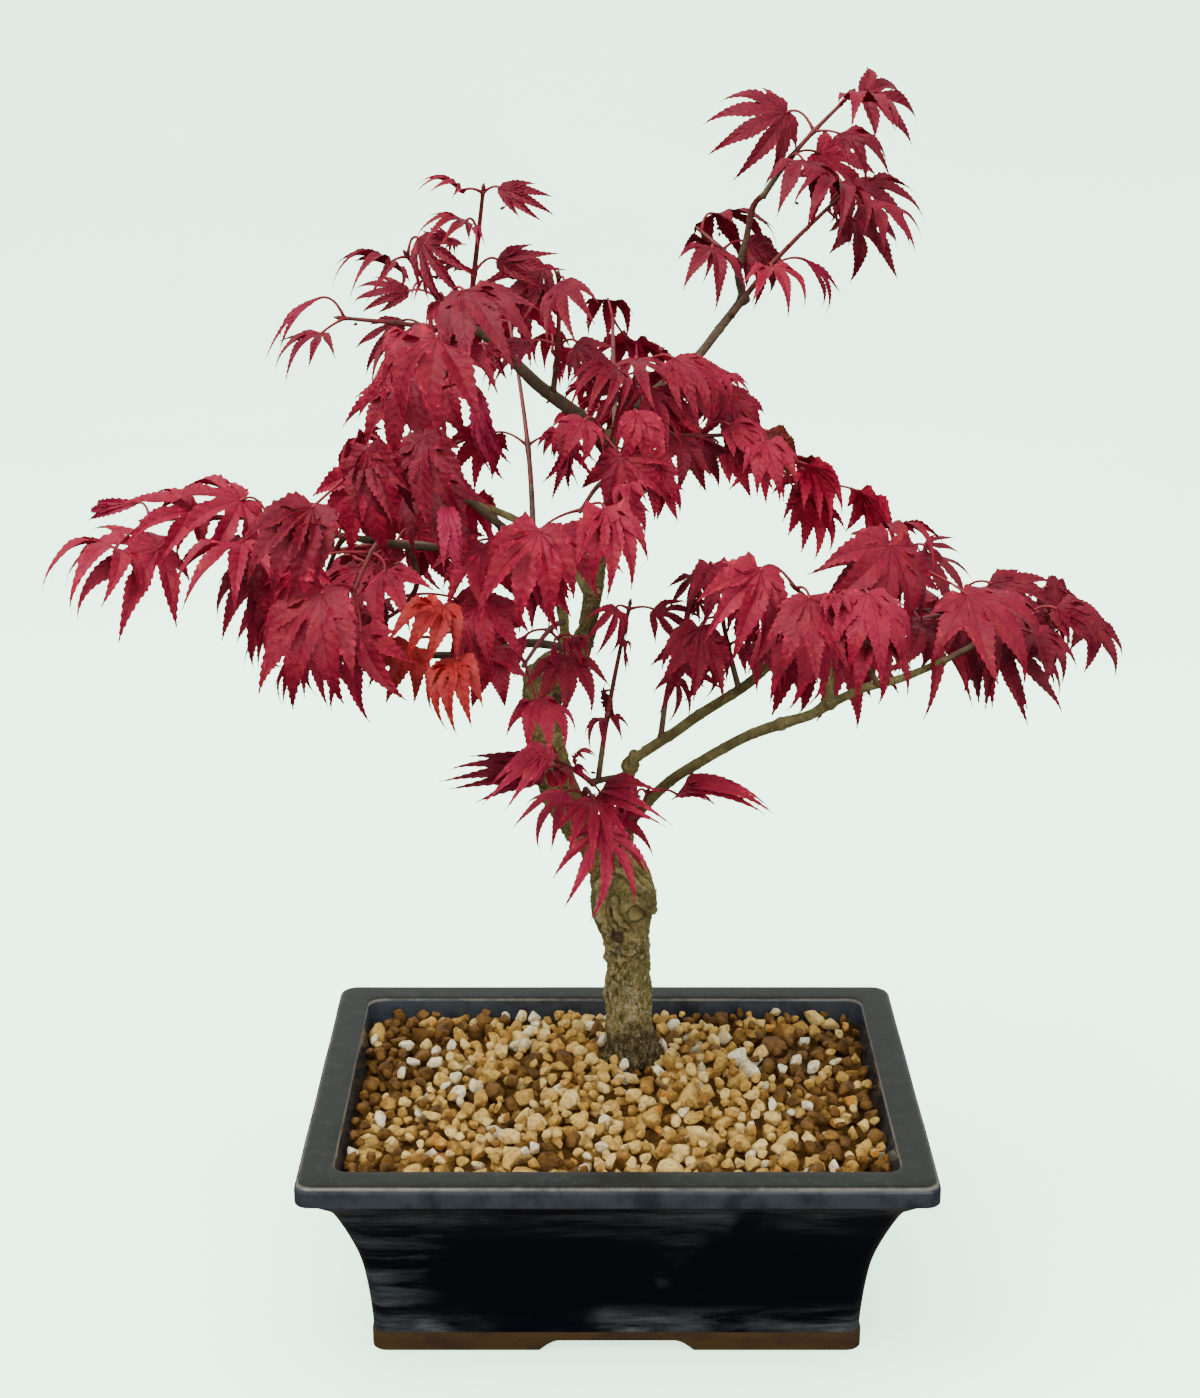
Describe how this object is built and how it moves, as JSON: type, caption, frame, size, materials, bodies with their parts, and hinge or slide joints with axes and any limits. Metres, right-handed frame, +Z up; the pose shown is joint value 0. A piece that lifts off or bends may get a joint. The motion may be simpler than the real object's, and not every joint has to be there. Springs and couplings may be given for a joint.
{
  "type": "potted japanese maple bonsai",
  "caption": "Japanese maple bonsai with a bent trunk and open crown of deeply cut red leaves, planted in gritty soil in a glazed rectangular pot.",
  "frame": {"origin": "on the surface the pot stands on, under the middle of the whole plant's box", "axes": "+Z up, +X to the right along the pot's long side, +Y away from the plant's front"},
  "size_m": [0.3425, 0.2378, 0.3939],
  "materials": {
    "glaze": "dark blue-black gloss glaze, slate on the rim, over a brown unglazed foot",
    "soil": "loose tan and brown clay grains with white pumice",
    "bark": "olive-grey bark with pale flakes and dark patches",
    "young_bark": "smooth olive green bark with pale lenticels",
    "grey_bark": "grey-brown bark",
    "leaves": "crimson leaves on dark red stalks"
  },
  "bodies": {
    "root": {"apex_left_leaves": "leaves", "apex_right_inner_leaves": "leaves", "apex_right_leaves": "leaves", "apex_right_low_leaves": "leaves", "back_high_leaves": "leaves", "back_left_bough": "young_bark", "back_left_high_leaves": "leaves", "back_left_outer_leaves": "leaves", "back_middle_leaves": "leaves", "back_right_bough": "young_bark", "back_right_outer_leaves": "leaves", "centre_front_leaves": "leaves", "centre_heart_leaves": "leaves", "centre_low_leaves": "leaves", "centre_top_leaves": "leaves", "crown_behind_leaves": "leaves", "crown_front_leaves": "leaves", "crown_left_bough": "grey_bark", "crown_low_leaves": "leaves", "crown_middle_leaves": "leaves", "crown_outer_high_leaves": "leaves", "crown_outer_leaves": "leaves", "crown_right_bough": "grey_bark", "crown_right_shoot": "grey_bark", "cut_stub": "grey_bark", "far_left_leaves": "leaves", "far_right_leaves": "leaves", "inner_right_leaves": "leaves", "inner_shoot_leaves": "leaves", "left_behind_leaves": "leaves", "left_front_leaves": "leaves", "left_inner_leaves": "leaves", "left_low_bough": "young_bark", "left_lower_leaves": "leaves", "left_outer_leaves": "leaves", "left_reaching_bough": "young_bark", "left_rising_bough": "young_bark", "left_stem": "young_bark", "left_upper_leaves": "leaves", "middle_behind_leaves": "leaves", "pot": "glaze", "right_behind_leaves": "leaves", "right_centre_high_leaves": "leaves", "right_centre_leaves": "leaves", "right_front_leaves": "leaves", "right_high_leaves": "leaves", "right_low_bough": "young_bark", "right_low_bough_end": "young_bark", "right_mid_bough": "young_bark", "right_middle_leaves": "leaves", "right_rise_out_leaves": "leaves", "right_rising_bough": "young_bark", "right_stem": "bark", "right_upper_leaves": "leaves", "soil": "soil", "sprout_front_leaves": "leaves", "sprout_left_leaves": "leaves", "sprout_right_leaves": "leaves", "trunk": "bark"}
  },
  "joints": []
}
